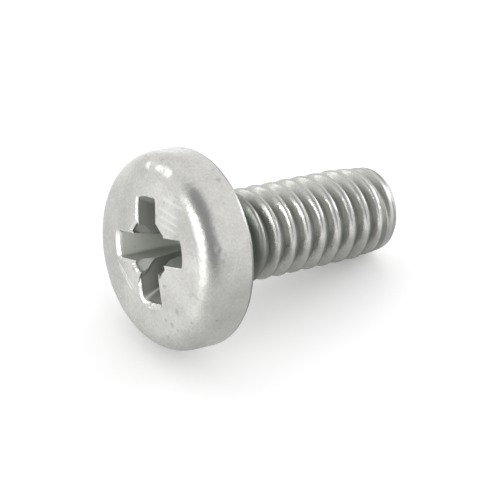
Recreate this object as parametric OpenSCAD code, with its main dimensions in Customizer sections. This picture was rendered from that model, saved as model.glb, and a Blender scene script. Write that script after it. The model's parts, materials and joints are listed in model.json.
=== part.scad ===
// Pan head machine screw with a cross recess, rolled thread, one solid piece.
// It lies on its side as it comes to rest: on the rim of the head and on the
// rounded end of the tip. The point under its middle on the ground is the
// origin, +X runs from the head to the tip and +Z is up.

/* [Head] */
// Diameter of the head
head_d = 8.18; // [7.8:0.01:8.6]
// Height of the head, from the bearing face to the middle of the top
head_h = 2.4; // [2.2:0.05:3]
// Radius of the shallow crown on the top
crown_r = 21; // [16:1:40]
// Radius of the rounding from the top to the side
shoulder_r = 1.05; // [0.7:0.05:1.2]
// Radius of the rounding from the side to the bearing face
rim_r = 0.2; // [0.1:0.02:0.3]

/* [Cross recess] */
// Distance across two opposite wings at the top of the head
recess_across = 4.45; // [4.1:0.05:4.6]
// Width of a wing at the top of the head
wing_w = 1.14; // [0.96:0.02:1.24]
// Draft of a wing's side walls, in degrees
wing_draft = 7; // [1:0.5:8]
// Slope of a wing's end wall from the axis, in degrees
end_slope = 26.5; // [22:0.5:30]
// Diameter of the recess where the end walls stop and the point starts
core_d = 2.2; // [2:0.02:2.6]
// Rise of the pointed floor, in degrees from level
floor_slope = 28; // [20:1:35]
// Width across the flutes that cut the inner corners, at the top of the head
flute_across = 2.44; // [2:0.02:2.6]
// Depth of the flutes, below which the inner corners stay sharp
flute_depth = 0.2; // [0.1:0.05:0.6]
// Slope of the flutes from the axis, in degrees
flute_slope = 12; // [8:0.5:16]
// Turn of the recess about the screw's axis, in degrees
recess_turn = 24.5; // [-45:0.5:45]
// Distance of the struck recess from the axis of the head
recess_shift = 0.3; // [0:0.02:0.34]

/* [Thread] */
// Outside diameter of the thread
thread_d = 3.92; // [3.84:0.01:4.16]
// Distance from one crest to the next
pitch = 0.794; // [0.7:0.002:0.8]
// Depth of the groove
groove_depth = 0.45; // [0.35:0.01:0.48]
// Width of the flat that is left on a crest
crest_w = 0.14; // [0.1:0.01:0.2]
// Angle between the two flanks, in degrees
flank_angle = 60; // [55:1:62]
// Turn of the thread about the screw's axis, in degrees
thread_turn = 7; // [-180:1:180]
// Length of thread over which the groove runs out below the head, in turns
runout_turns = 0.8; // [0.5:0.1:1.2]
// Length of thread over which the groove sinks in at the tip, in turns
start_turns = 0.6; // [0.4:0.1:1.2]

/* [Shank] */
// Length of the screw below the head
length = 9.525; // [8:0.025:13]
// Diameter of the plain neck below the head
neck_d = 3.56; // [3.4:0.02:3.8]
// Length of the plain neck below the head
neck_len = 0.5; // [0.4:0.05:1]
// Length over which the shank rises from the neck to the thread's diameter
lead_len = 0.6; // [0.3:0.05:1]
// Radius of the fillet between the neck and the bearing face
fillet_r = 0.3; // [0.2:0.05:0.35]
// Length of the tapered tip
tip_len = 1.8; // [1:0.05:2.2]
// Diameter at the end of the taper
tip_d = 3.6; // [3.4:0.02:3.7]
// Radius of the rounding at the end of the tip
tip_edge_r = 0.3; // [0.15:0.05:0.45]

/* [Hidden] */
head_r = head_d / 2;
thread_r = thread_d / 2;
neck_r = neck_d / 2;
tip_r = tip_d / 2;
core_r = core_d / 2;

// Amount by which a cutting shape runs past the metal that it cuts
over = 0.6;

// The crown and the shoulder are arcs that meet tangentially
shoulder_x = head_r - shoulder_r;
shoulder_z = head_h - crown_r + sqrt(pow(crown_r - shoulder_r, 2) - pow(shoulder_x, 2));
crown_x = shoulder_x * crown_r / (crown_r - shoulder_r);

// Depth at which the end walls of the wings stop, and height of the point below
wall_depth = (recess_across / 2 - core_r) / tan(end_slope);
point_h = core_r * tan(floor_slope);

// Groove section: half widths at the root and at the outer face of the cutter,
// which stays just short of the next turn's
flank_run = tan(flank_angle / 2);
root_r = thread_r - groove_depth;
cutter_r = thread_r + 0.4 * crest_w / 2 / flank_run;
mouth_half = (pitch - crest_w) / 2;
root_half = mouth_half - groove_depth * flank_run;
cutter_half = mouth_half + (cutter_r - thread_r) * flank_run;
steps_per_turn = 30;
groove_low = tip_edge_r - length;
groove_high = -neck_len - pitch / 2;
groove_turns = (groove_high - groove_low) / pitch;
groove_steps = ceil(groove_turns * steps_per_turn);

// Lying at rest: the plane that touches the rounded rim of the head and the
// rounded end of the tip
rest_run = length - tip_edge_r + rim_r;
rest_drop = head_r - rim_r - tip_r + tip_edge_r;
rest_tilt = atan(rest_drop / rest_run) + asin((rim_r - tip_edge_r) / norm([rest_run, rest_drop]));
rest_height = (head_r - rim_r) * cos(rest_tilt) - rim_r * sin(rest_tilt) + rim_r;
reach_back = shoulder_x * sin(rest_tilt) + shoulder_z * cos(rest_tilt) + shoulder_r;
reach_front = (tip_r - tip_edge_r) * sin(rest_tilt)
    + (length - tip_edge_r) * cos(rest_tilt) + tip_edge_r;

// Half section of the head: crowned top, rounded shoulder, straight side and rim
module head_profile() {
    intersection() {
        translate([0, head_h - crown_r]) circle(r = crown_r, $fn = 720);
        square([crown_x, head_h]);
    }
    translate([shoulder_x, shoulder_z]) circle(r = shoulder_r, $fn = 64);
    square([head_r - rim_r, shoulder_z]);
    translate([0, rim_r]) square([head_r, shoulder_z - rim_r]);
    translate([head_r - rim_r, rim_r]) circle(r = rim_r, $fn = 32);
}

// Half section of the shank, rooted in the head: filleted neck, full thread
// diameter and tapered tip
module shank_profile() {
    difference() {
        translate([0, -fillet_r]) square([neck_r + fillet_r, fillet_r + rim_r]);
        translate([neck_r + fillet_r, -fillet_r]) circle(r = fillet_r, $fn = 48);
    }
    polygon([
        [0, tip_edge_r - length],
        [tip_r, tip_edge_r - length],
        [thread_r, tip_len - length],
        [thread_r, -neck_len - lead_len],
        [neck_r, -neck_len],
        [neck_r, rim_r],
        [0, rim_r]
    ]);
    translate([0, -length]) square([tip_r - tip_edge_r, 2 * tip_edge_r]);
    translate([tip_r - tip_edge_r, tip_edge_r - length]) circle(r = tip_edge_r, $fn = 48);
}

// How far the groove has lifted out of the metal at a step, near its two ends
function groove_lift(step) =
    let (
        made = step / steps_per_turn / start_turns,
        left = (groove_steps - step) / steps_per_turn / runout_turns
    )
    (groove_depth + 0.1) * max(1 - made, 1 - left, 0);

// Section of the groove at a step, as four points around its trapezium
function groove_ring(step) =
    let (
        z = groove_low + step * pitch / steps_per_turn,
        a = thread_turn + (z + length) * 360 / pitch,
        lift = groove_lift(step)
    )
    [for (q = [
        [root_r, -root_half],
        [cutter_r, -cutter_half],
        [cutter_r, cutter_half],
        [root_r, root_half]
    ]) [(q[0] + lift) * cos(a), (q[0] + lift) * sin(a), z + q[1]]];

// Right-hand helical groove between the crests
module thread_groove() {
    points = [for (i = [0:groove_steps]) each groove_ring(i)];
    sides = [for (i = [0:groove_steps - 1], j = [0:3])
        let (k = (j + 1) % 4, p = 4 * i, q = 4 * (i + 1))
        each [[p + j, q + k, q + j], [p + j, p + k, q + k]]];
    last = 4 * groove_steps;
    caps = [[0, 2, 1], [0, 3, 2], [last, last + 1, last + 2], [last, last + 2, last + 3]];
    polyhedron(points = points, faces = concat(sides, caps), convexity = 12);
}

// Straight slot with drafted sides through the axis, its width given at the top
module slot(width, draft) {
    deep = wall_depth + point_h;
    rotate([90, 0, 90])
        linear_extrude(height = recess_across + 2 * over, center = true)
            polygon([
                [-width / 2 + deep * tan(draft), -deep],
                [width / 2 - deep * tan(draft), -deep],
                [width / 2 + over * tan(draft), over],
                [-width / 2 - over * tan(draft), over]
            ]);
}

// Slot for the flutes, which narrows to nothing below their depth
module flute_slot() {
    half = flute_across / 2;
    foot = half - flute_depth * tan(flute_slope);
    mouth = half + over * tan(flute_slope);
    rotate([90, 0, 90])
        linear_extrude(height = recess_across + 2 * over, center = true)
            polygon([
                [0, -flute_depth - foot],
                [foot, -flute_depth],
                [mouth, over],
                [-mouth, over],
                [-foot, -flute_depth]
            ]);
}

// Cross recess: two crossed slots and the fluted corners, inside a tapered envelope
module cross_recess() {
    translate([recess_shift, 0, head_h]) rotate(recess_turn)
        intersection() {
            union() {
                translate([0, 0, -wall_depth])
                    cylinder(
                        h = wall_depth + over,
                        r1 = core_r,
                        r2 = recess_across / 2 + over * tan(end_slope),
                        $fn = 96
                    );
                translate([0, 0, -wall_depth - point_h])
                    cylinder(h = point_h, r1 = 0, r2 = core_r, $fn = 96);
            }
            union() {
                slot(wing_w, wing_draft);
                rotate(90) slot(wing_w, wing_draft);
                rotate(45) intersection() {
                    flute_slot();
                    rotate(90) flute_slot();
                }
            }
        }
}

// The whole screw, upright, with the bearing face at z = 0
module upright_screw() {
    difference() {
        rotate_extrude($fn = 96) {
            head_profile();
            shank_profile();
        }
        thread_groove();
        cross_recess();
    }
}

// The screw in bright zinc plated steel, laid down at rest
module machine_screw() {
    color("lightsteelblue")
        translate([(reach_back - reach_front) / 2, 0, rest_height])
            rotate([0, rest_tilt - 90, 0])
                upright_screw();
}

machine_screw();
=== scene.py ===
"""Dresses a small pan head machine screw that lies at rest on a pale floor.

The screw was cold headed from wire, its thread was rolled and it was zinc plated. One
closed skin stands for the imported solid: the crowned head with its struck cross recess,
the neck, the thread with rounded roots and folded crests, and the tapered tip.
Lengths are in millimetres in the screw's own frame until the mesh is made: Z runs up
its axis out of the head and the bearing face lies at Z = 0.
"""

import json
import logging
import math
from dataclasses import dataclass, field
from enum import Enum
from functools import cached_property
from typing import Any, ClassVar

import bpy
import numpy as np
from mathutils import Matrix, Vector


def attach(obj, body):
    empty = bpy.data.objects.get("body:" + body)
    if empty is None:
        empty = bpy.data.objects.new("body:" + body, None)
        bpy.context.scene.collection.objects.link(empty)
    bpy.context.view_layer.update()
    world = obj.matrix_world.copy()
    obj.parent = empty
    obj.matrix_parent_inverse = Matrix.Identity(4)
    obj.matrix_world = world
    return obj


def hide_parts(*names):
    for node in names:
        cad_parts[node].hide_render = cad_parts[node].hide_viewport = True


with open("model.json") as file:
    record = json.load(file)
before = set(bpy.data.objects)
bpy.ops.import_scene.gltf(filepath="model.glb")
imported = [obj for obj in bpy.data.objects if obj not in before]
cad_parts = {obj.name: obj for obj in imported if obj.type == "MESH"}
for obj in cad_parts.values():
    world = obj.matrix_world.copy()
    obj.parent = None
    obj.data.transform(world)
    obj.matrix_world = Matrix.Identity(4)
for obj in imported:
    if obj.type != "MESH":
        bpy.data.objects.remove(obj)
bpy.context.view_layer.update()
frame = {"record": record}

LOG = logging.getLogger("machine_screw")
MM = 0.001
FULL_TURN = 2.0 * math.pi
ARMS = 4


def unit(values: Any) -> np.ndarray:
    """Returns the vector scaled to a length of one."""
    vector = np.asarray(values, float)
    return vector / np.linalg.norm(vector)


def smooth_step(values: Any) -> np.ndarray:
    """Returns an easy rise from 0 to 1 over the values 0 to 1."""
    share = np.clip(values, 0.0, 1.0)
    return share * share * (3.0 - 2.0 * share)

def ramp(values: Any, start: Any, end: Any) -> np.ndarray:
    """Returns an easy rise from 0 at the start to 1 at the end."""
    return smooth_step((values - start) / (end - start))


def polar(radius: Any, angle: Any, height: Any) -> np.ndarray:
    """Returns a row of X, Y and Z for each radius, angle and height."""
    parts = np.broadcast_arrays(radius * np.cos(angle), radius * np.sin(angle), height)
    return np.stack(parts, axis=-1)


def soft_min(first: np.ndarray, second: np.ndarray, blend: float) -> np.ndarray:
    """Takes the smaller of two surfaces and rounds the edge where they cross.

    Args:
        first: One surface's values.
        second: The other surface's values.
        blend: Size of the rounding, in the unit of the values.

    Returns:
        The lower surface with a rounded edge.
    """
    near = np.clip(0.5 + 0.5 * (second - first) / blend, 0.0, 1.0)
    return second + (first - second) * near - blend * near * (1.0 - near)


def add_object(name: str, data: Any) -> bpy.types.Object:
    """Adds an object to the scene.

    Args:
        name: Its name.
        data: Its mesh, light or camera.

    Returns:
        The object.
    """
    thing = bpy.data.objects.new(name, data)
    bpy.context.scene.collection.objects.link(thing)
    return thing


class Grain:
    """A smooth, seeded unevenness made of a few crossed waves."""

    def __init__(self, seed: int, wavelength: float, waves: int = 14) -> None:
        """Draws the waves.

        Args:
            seed: Seed of the random draw.
            wavelength: Typical distance from one bump to the next.
            waves: How many waves are summed.
        """
        draw = np.random.default_rng(seed)
        ways = draw.normal(size=(waves, 3))
        ways /= np.linalg.norm(ways, axis=1)[:, None]
        stretch = FULL_TURN / wavelength * draw.uniform(0.55, 1.6, waves)
        self.ways = ways * stretch[:, None]
        self.starts = draw.uniform(0.0, FULL_TURN, waves)
        self.scale = math.sqrt(2.0 / waves)

    def at(self, points: np.ndarray) -> np.ndarray:
        """Returns the unevenness at each point, mostly within -1 to 1."""
        return np.sin(points @ self.ways.T + self.starts).sum(axis=-1) * self.scale


@dataclass(frozen=True)
class Lie:
    """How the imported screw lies, read from the record's mounts.

    Attributes:
        origin: Middle of the bearing face in the row frame, in metres.
        axes: The screw's own X, Y and Z as rows.
        mounts: The record's mounts by name.
    """

    origin: np.ndarray
    axes: np.ndarray
    mounts: dict[str, Any]

    @classmethod
    def from_record(cls, record: dict[str, Any]) -> "Lie":
        """Works out the screw's frame from its head side and bearing face.

        Args:
            record: The part's record.

        Returns:
            The lie.
        """
        mounts = {mount["name"]: mount for mount in record["mounts"]}
        side = mounts["head_side"]
        up = -unit(side["axis"])
        across = np.array((0.0, 1.0, 0.0))
        middle = np.asarray(side["pos_m"], float)
        drop = (np.asarray(mounts["bearing_face"]["pos_m"]) - middle) @ up
        axes = np.stack([np.cross(across, up), across, up])
        return cls(middle + drop * up, axes, mounts)

    def local(self, name: str) -> np.ndarray:
        """Returns a mount's place in the screw's own frame, in millimetres."""
        place = np.asarray(self.mounts[name]["pos_m"], float)
        return (place - self.origin) @ self.axes.T / MM

    def row(self, points: np.ndarray) -> np.ndarray:
        """Turns the screw's own millimetres into metres in the row frame."""
        return points * MM @ self.axes + self.origin


class Skin:
    """A closed mesh that grows ring by ring, from the recess to the tip."""

    def __init__(self) -> None:
        """Starts with no points."""
        self.points: list[np.ndarray] = []
        # Shine also carries painted highlights; the film and tarnish layers also carry painted
        # light and painted shade.
        self.finish: dict[str, list[np.ndarray]] = {"shine": [], "soil": [], "tarnish": []}
        self.faces: list[tuple[int, ...]] = []
        self.count = 0

    def add(
        self, points: np.ndarray, shine: Any = 0.0, soil: Any = 0.0, tarnish: Any = 0.0
    ) -> np.ndarray:
        """Adds points and returns their numbers.

        Args:
            points: One row of X, Y, Z for each point.
            shine: How bright the plate is made there, 0 to 1: rubbed scratches and rolls, and
                painted highlights on the thread and the bearing face.
            soil: How much chalky grey film lies there, 0 to 1, with painted shade in the recess and
                painted light on the thread's upper side.
            tarnish: How far the plate is darkened and dulled there, 0 to 1, by real tarnish and by
                painted shade.

        Returns:
            The numbers of the new points.
        """
        for layer, values in zip(self.finish.values(), (shine, soil, tarnish)):
            layer.append(np.broadcast_to(values, len(points)))
        self.points.append(points)
        numbers = np.arange(self.count, self.count + len(points))
        self.count += len(points)
        return numbers

    def grow(self, ring: np.ndarray | None, points: np.ndarray, *finish: Any) -> np.ndarray:
        """Adds a ring of points and joins it to the ring before.

        Args:
            ring: Numbers of the ring before, if there is one.
            points: One row of X, Y, Z for each point.
            finish: Shine, soil and tarnish there, as for add.

        Returns:
            The numbers of the new ring.
        """
        here = self.add(points, *finish)
        if ring is not None:
            self.join(ring, here)
        return here

    def join(self, first: np.ndarray, second: np.ndarray) -> None:
        """Joins a ring to the next, which may have three times as many points or a third.

        Args:
            first: Numbers of the ring nearer the recess, counterclockwise.
            second: Numbers of the ring nearer the tip.
        """
        if len(first) == len(second):
            after = np.roll(first, -1), np.roll(second, -1)
            quads = np.stack([first, second, after[1], after[0]], axis=1)
            self.faces.extend(map(tuple, quads.tolist()))
            return
        fine, coarse = (first, second) if len(first) > len(second) else (second, first)
        for place, corner in enumerate(coarse):
            near = [fine[(3 * place + step) % len(fine)] for step in (-1, 0, 1, 2)]
            beside = coarse[(place + 1) % len(coarse)]
            for low, high in ((near[0], near[1]), (near[1], near[2])):
                flat = (low, corner, high) if fine is first else (corner, low, high)
                self.faces.append(tuple(int(n) for n in flat))
            quad = (near[2], corner, beside, near[3])
            if fine is second:
                quad = (corner, near[2], near[3], beside)
            self.faces.append(tuple(int(n) for n in quad))

    def close(self, ring: np.ndarray, height: float, facing_up: bool, soil: float) -> None:
        """Closes a ring with a fan to a point on its axis.

        Args:
            ring: Numbers of the ring, counterclockwise.
            height: Height of the middle point.
            facing_up: Whether the fan faces the head's side of the screw.
            soil: Grey film at the middle point, with painted shade in the recess.
        """
        places = np.concatenate(self.points)[ring]
        middle = np.array([[places[:, 0].mean(), places[:, 1].mean(), height]])
        centre = int(self.add(middle, soil=soil)[0])
        after = np.roll(ring, -1)
        for here, there in zip(ring.tolist(), after.tolist()):
            self.faces.append((centre, here, there) if facing_up else (here, centre, there))

    def mesh(self, name: str, lie: Lie) -> bpy.types.Mesh:
        """Makes the Blender mesh, with its own frame and finish kept as attributes.

        Args:
            name: Name of the mesh.
            lie: How the screw lies.

        Returns:
            The mesh, smooth shaded, in metres in the row frame.
        """
        own = np.concatenate(self.points)
        mesh = bpy.data.meshes.new(name)
        mesh.from_pydata(lie.row(own).tolist(), [], self.faces)
        mesh.attributes.new("own_mm", "FLOAT_VECTOR", "POINT").data.foreach_set(
            "vector", own.astype(np.float32).ravel()
        )
        for key, values in self.finish.items():
            layer = mesh.attributes.new(key, "FLOAT", "POINT")
            layer.data.foreach_set("value", np.concatenate(values).astype(np.float32))
        mesh.shade_smooth()
        mesh.validate()
        mesh.update()
        return mesh


@dataclass(frozen=True)
class Dent:
    """A shallow knock in the head.

    Attributes:
        place: Its middle, in the screw's own frame.
        size: Its radius.
        depth: How deep it is; a negative depth is a raised fleck.
        stain_and_shade: How dark the plate is in it, 0 to 1.
    """

    place: tuple[float, float, float]
    size: float
    depth: float
    stain_and_shade: float = 0.0

    def far(self, points: np.ndarray) -> np.ndarray:
        """Returns each point's distance from the middle, as a share of the radius."""
        return np.linalg.norm(points - np.array(self.place), axis=1) / self.size


@dataclass(frozen=True)
class Scratch:
    """A straight scratch in the top of the head.

    Attributes:
        start: One end, as X and Y.
        end: The other end.
        width: Its full width.
        depth: Its depth.
        shine: How bright it is rubbed, 0 to 1.
        lowest: Height above which it is cut.
    """

    start: tuple[float, float]
    end: tuple[float, float]
    width: float = 0.07
    depth: float = 0.007
    shine: float = 0.9
    lowest: float = 1.5

    def strength(self, points: np.ndarray, fade: float) -> np.ndarray:
        """Works out how strongly the scratch marks each point.

        Args:
            points: Points on the head.
            fade: Share of the scratch over which each end fades.

        Returns:
            Its strength, 0 to 1.
        """
        start = np.array(self.start)
        run = np.array(self.end) - start
        share = (points[:, :2] - start) @ run / (run @ run)
        foot = start + np.clip(share, 0.0, 1.0)[:, None] * run
        far = np.linalg.norm(points[:, :2] - foot, axis=1) / (self.width / 2)
        ends = smooth_step(share / fade) * smooth_step((1.0 - share) / fade)
        return np.exp(-far**2) * ends * (points[:, 2] > self.lowest)


@dataclass
class HandlingMarks:
    """The knocks, scratches and unevenness of the head's outside.

    Attributes:
        dents: The knocks and specks.
        scratches: The scratches and brushed streaks.
        ripple: Wide unevenness.
        ripple_height: Its height.
        pebble: Fine unevenness.
        pebble_height: Its height.
        specks: Grain whose peaks are small dark specks.
        speck_span: Values of that grain between which a speck darkens.
        speck_stain: How dark a speck is, 0 to 1.
        dent_edge: Steepness of a dent's edge.
        stain_edge: Steepness of the edge of a dent's stain.
    """

    dents: tuple[Dent, ...] = (
        Dent((3.36, 1.32, 2.0), 0.24, 0.022),
        Dent((3.52, 0.80, 2.0), 0.22, -0.014),
        Dent((3.66, 0.30, 1.96), 0.26, 0.020),
        Dent((2.95, 1.36, 2.15), 0.10, 0.012),
        Dent((3.67, 1.34, 1.71), 0.16, 0.010),
        Dent((2.13, -3.31, 1.66), 0.16, 0.018),
        Dent((1.99, -3.53, 1.40), 0.15, 0.016, 0.3),
        Dent((2.22, -3.42, 1.28), 0.10, -0.010),
        Dent((-0.84, -3.94, 1.46), 0.11, 0.030, 0.9),
        Dent((-1.28, -3.18, 2.09), 0.09, 0.010, 0.6),
        Dent((-2.03, -2.53, 2.15), 0.08, 0.012, 0.6),
        Dent((-2.06, -3.46, 1.46), 0.12, 0.010, 0.7),
        Dent((0.20, -4.08, 0.83), 0.09, 0.012, 0.5),
    )
    scratches: tuple[Scratch, ...] = (
        Scratch((-1.25, 2.00), (-1.90, 0.10), 0.06, 0.008),
        Scratch((-1.42, 1.80), (-2.02, 0.30), 0.05, 0.006),
        Scratch((2.29, 0.08), (2.42, -1.40), 0.10, 0.006, 0.5),
        Scratch((2.70, 0.07), (2.94, -1.53), 0.10, 0.005, 0.45),
        Scratch((1.71, -0.19), (1.89, -1.50), 0.09, 0.005, 0.45),
        Scratch((2.00, -0.05), (2.16, -1.45), 0.10, 0.005, 0.5),
        Scratch((1.38, -0.75), (1.48, -1.62), 0.10, 0.004, 0.4),
    )
    ripple: Grain = field(default_factory=lambda: Grain(11, 1.6))
    ripple_height: float = 0.004
    pebble: Grain = field(default_factory=lambda: Grain(12, 0.22, 24))
    pebble_height: float = 0.0007
    specks: Grain = field(default_factory=lambda: Grain(13, 0.42, 20))
    speck_span: tuple[float, float] = (1.9, 2.5)
    speck_stain: float = 0.4
    dent_edge: float = 1.6
    stain_edge: float = 2.0

    def lift(self, points: np.ndarray) -> np.ndarray:
        """Works out how far the marks raise the surface.

        Args:
            points: Points on the head's outside.

        Returns:
            The rise along the surface normal at each point.
        """
        rise = self.ripple_height * self.ripple.at(points)
        rise += self.pebble_height * self.pebble.at(points)
        for dent in self.dents:
            rise -= dent.depth * np.exp(-dent.far(points) ** 2 * self.dent_edge)
        for scratch in self.scratches:
            rise -= scratch.depth * scratch.strength(points, 0.2)
        return rise

    def stain_and_shade(self, points: np.ndarray) -> np.ndarray:
        """Works out how dark the dents and specks are.

        Args:
            points: Points on the head's outside.

        Returns:
            The darkness at each point, 0 to 1.
        """
        dark = self.speck_stain * ramp(self.specks.at(points), *self.speck_span)
        for dent in self.dents:
            spot = dent.stain_and_shade * np.exp(-dent.far(points) ** 2 * self.stain_edge)
            dark = np.maximum(dark, spot)
        return dark

    def shine(self, points: np.ndarray) -> np.ndarray:
        """Returns how bright the scratches are rubbed at each point, 0 to 1."""
        return np.max([mark.shine * mark.strength(points, 0.25) for mark in self.scratches], axis=0)


@dataclass(frozen=True)
class HeadForm:
    """The outside of the pan head.

    Attributes:
        radius: Radius of the straight side.
        height: Height of the middle of the crown above the bearing face.
        rim_radius: Rounding from the side to the bearing face.
        side_height: Length of the straight side.
        neck_reach: Radius at which the bearing face meets the neck's fillet.
        crown_radius: Radius of the shallow crown.
        shoulder_radius: Rounding from the crown to the side.
    """

    radius: float
    height: float
    rim_radius: float
    side_height: float
    neck_reach: float
    crown_radius: float = 21.0
    shoulder_radius: float = 1.05
    CROWN_RINGS: ClassVar[int] = 4
    SHOULDER_RINGS: ClassVar[int] = 27
    SIDE_RINGS: ClassVar[int] = 15
    RIM_RINGS: ClassVar[int] = 9

    @property
    def shoulder_middle(self) -> tuple[float, float]:
        """Radius and height of the middle of the shoulder's arc."""
        return self.radius - self.shoulder_radius, self.rim_radius + self.side_height

    @property
    def crown_edge(self) -> float:
        """Radius at which the crown turns into the shoulder."""
        share = self.crown_radius / (self.crown_radius - self.shoulder_radius)
        return self.shoulder_middle[0] * share

    def top(self, radius: np.ndarray) -> np.ndarray:
        """Returns the height of the crown at a distance from the axis."""
        return self.height - self.crown_radius + np.sqrt(self.crown_radius**2 - radius**2)

    def section(self, start: float) -> np.ndarray:
        """Walks the head's section from the crown to the bearing face.

        Args:
            start: Radius on the crown at which the walk starts.

        Returns:
            Rows of radius, height, and the normal's radial and axial parts.
        """
        rows = []
        for radius in np.linspace(start, self.crown_edge, self.CROWN_RINGS)[:-1]:
            lean = radius / self.crown_radius
            rows.append((radius, float(self.top(radius)), lean, math.sqrt(1 - lean**2)))
        middle, level = self.shoulder_middle
        first = math.asin(self.crown_edge / self.crown_radius)
        for turn in np.linspace(first, math.pi / 2, self.SHOULDER_RINGS):
            out, up = math.sin(turn), math.cos(turn)
            rise = self.shoulder_radius * up
            rows.append((middle + self.shoulder_radius * out, level + rise, out, up))
        for height in np.linspace(level, self.rim_radius, self.SIDE_RINGS)[1:]:
            rows.append((self.radius, height, 1.0, 0.0))
        for turn in np.linspace(0.0, math.pi / 2, self.RIM_RINGS)[1:]:
            out, down = math.cos(turn), math.sin(turn)
            radius = self.radius - self.rim_radius * (1.0 - out)
            rows.append((radius, self.rim_radius * (1.0 - down), out, -down))
        return np.array(rows)


class Wall(Enum):
    """The stretches of the recess's edge that one arm has."""

    END = "end"
    AHEAD = "side ahead, counterclockwise"
    BEHIND = "side behind, clockwise"
    FLUTE = "flute ahead, counterclockwise"


@dataclass(frozen=True)
class RolledEdge:
    """A stretch of the recess's edge that the punch drew in more than the rest.

    Attributes:
        arm: Number of the arm, counterclockwise from the top one.
        wall: The stretch of that arm.
        width: Width of the roll on the top of the head.
        drop: Depth of the roll in the wall.
        burr: Height of the uneven burr on it.
        flare: How far the wall leans out at its top.
        stain_and_shade: How dark the wall is, 0 to 1, from its film and from painted shade.
    """

    arm: int
    wall: Wall
    width: float
    drop: float
    burr: float = 0.0
    flare: float = 0.0
    stain_and_shade: float = 0.4


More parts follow.
